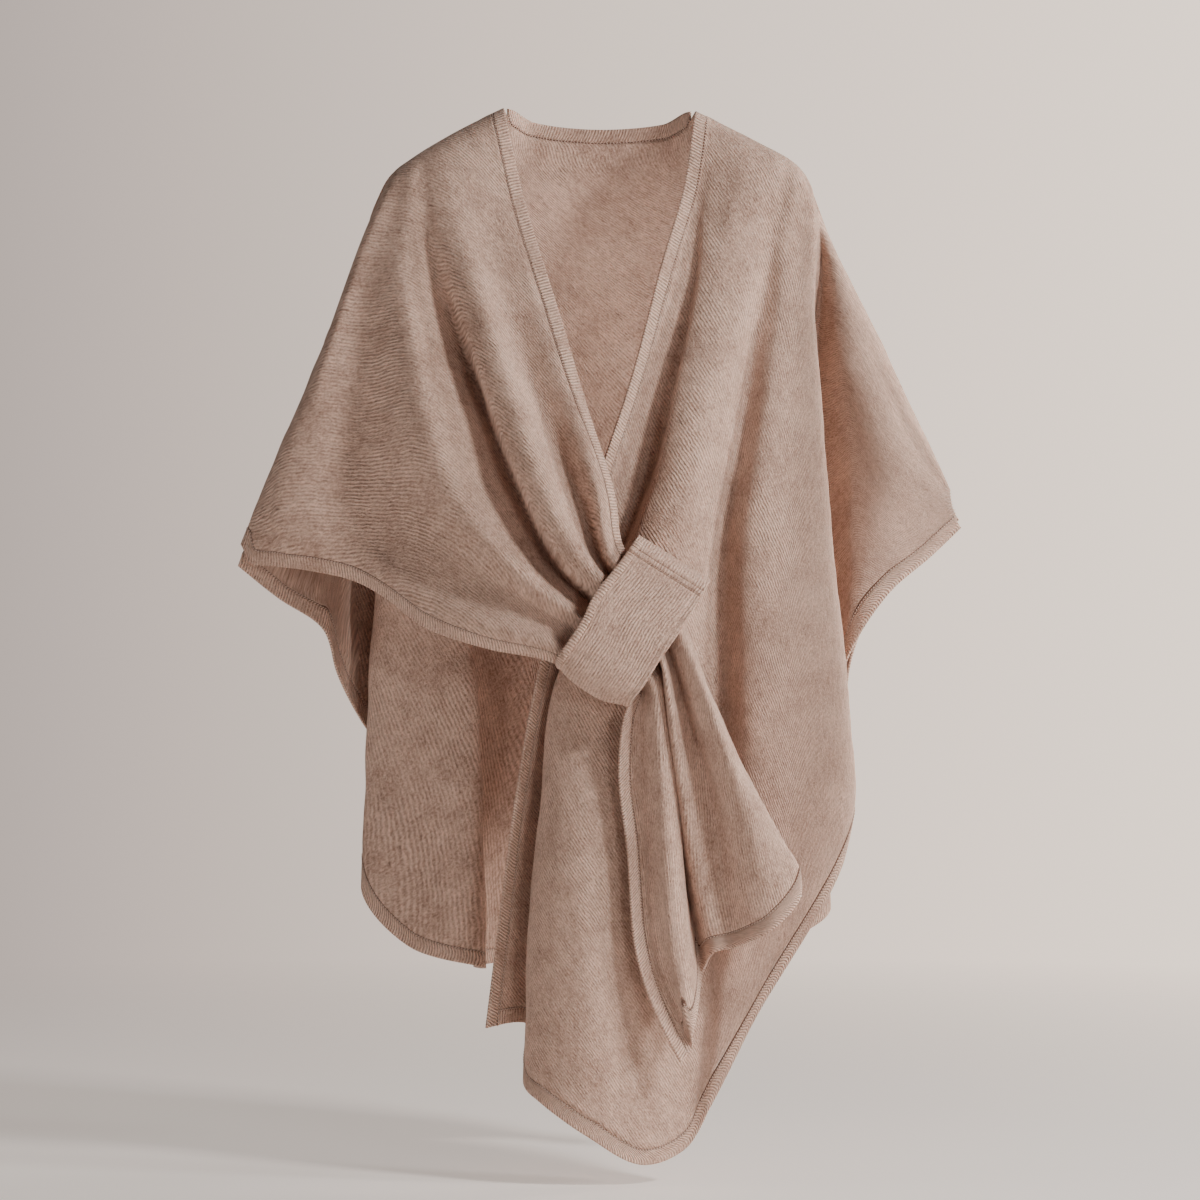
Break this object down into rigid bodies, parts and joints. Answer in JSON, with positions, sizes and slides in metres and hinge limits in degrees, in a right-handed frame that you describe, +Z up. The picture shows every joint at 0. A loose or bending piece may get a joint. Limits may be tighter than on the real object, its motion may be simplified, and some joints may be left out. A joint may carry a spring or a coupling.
{
  "type": "belted knit wrap cape",
  "caption": "Worn-shape knit wrap cape with linked bands, its right front drawn across through a loop tab on the left front and hanging below as a folded tail.",
  "frame": {"origin": "between the two neck points, where the wearer's shoulders carry the cape", "axes": "+Z up, -Y towards the viewer in front of the cape, +X towards the cape's own left side"},
  "size_m": [0.724, 0.3124, 1.0437],
  "materials": {
    "fine_knit": "soft fine-gauge wool knit, dusty rose-brown melange",
    "rib_band": "firmer linked and ribbed wool knit of the same yarn"
  },
  "bodies": {
    "root": {"back": "fine_knit", "back_hem": "rib_band", "back_neck_band": "rib_band", "left_front": "fine_knit", "left_front_band": "rib_band", "left_front_hem": "rib_band", "loop_tab": "rib_band", "right_front": "fine_knit", "right_front_band": "rib_band", "right_front_hem": "rib_band", "right_front_tail": "fine_knit", "tail_edge_band": "rib_band", "tail_hem": "rib_band"}
  },
  "joints": []
}
